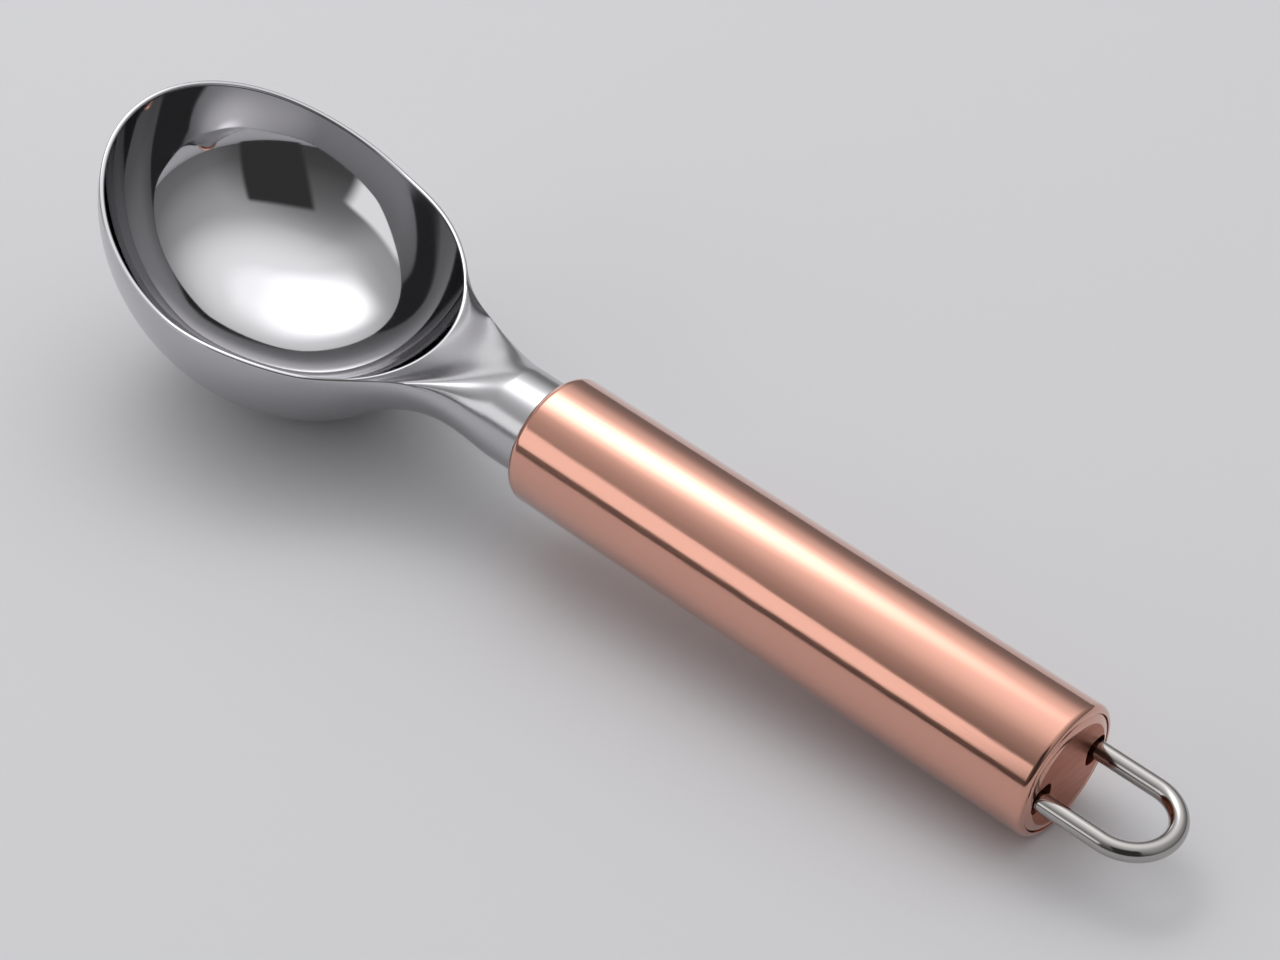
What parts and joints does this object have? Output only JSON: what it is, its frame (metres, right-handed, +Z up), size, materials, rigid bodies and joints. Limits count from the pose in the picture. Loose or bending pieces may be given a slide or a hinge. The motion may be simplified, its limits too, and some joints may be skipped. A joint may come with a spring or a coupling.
{
  "type": "ice cream scoop",
  "caption": "Fixed ice cream scoop: deep oval bright plated bowl on a flared neck and round shank, plain copper tube handle, swinging wire hanging loop.",
  "frame": {"origin": "centre of the bounding box, on the level that the bowl's underside and the handle's rear edge rest on", "axes": "+X along the scoop from the bowl's tip to the hanging loop, +Y across the bowl, +Z up, the way the bowl opens"},
  "size_m": [0.2122, 0.0548, 0.0445],
  "materials": {
    "bright_plating": "mirror-polished plating on a zinc casting",
    "copper_plating": "copper-plated steel, softly polished",
    "copper_cap": "copper-plated steel, satin",
    "bright_wire": "bright plated steel wire",
    "plain_steel": "plain steel",
    "black_rubber": "matt rubber",
    "pale_nylon": "moulded nylon",
    "grey_filler": "moulded filler"
  },
  "bodies": {
    "scoop": {"scoop_head": "bright_plating", "handle_tube": "copper_plating", "end_cap": "copper_cap", "shank_seal": "black_rubber", "front_bush": "pale_nylon", "core_left": "grey_filler", "core_right": "grey_filler", "tang_pin": "plain_steel", "loop_carrier": "pale_nylon", "carrier_screw_left": "plain_steel", "carrier_screw_right": "plain_steel"},
    "loop": {"hanging_loop": "bright_wire"}
  },
  "joints": [
    {"name": "loop_swing", "type": "hinge", "parent": "scoop", "child": "loop", "pos_m": [0.08382, 0, 0.01113], "axis": [0, 1, 0], "range_deg": [-10, 10]}
  ]
}
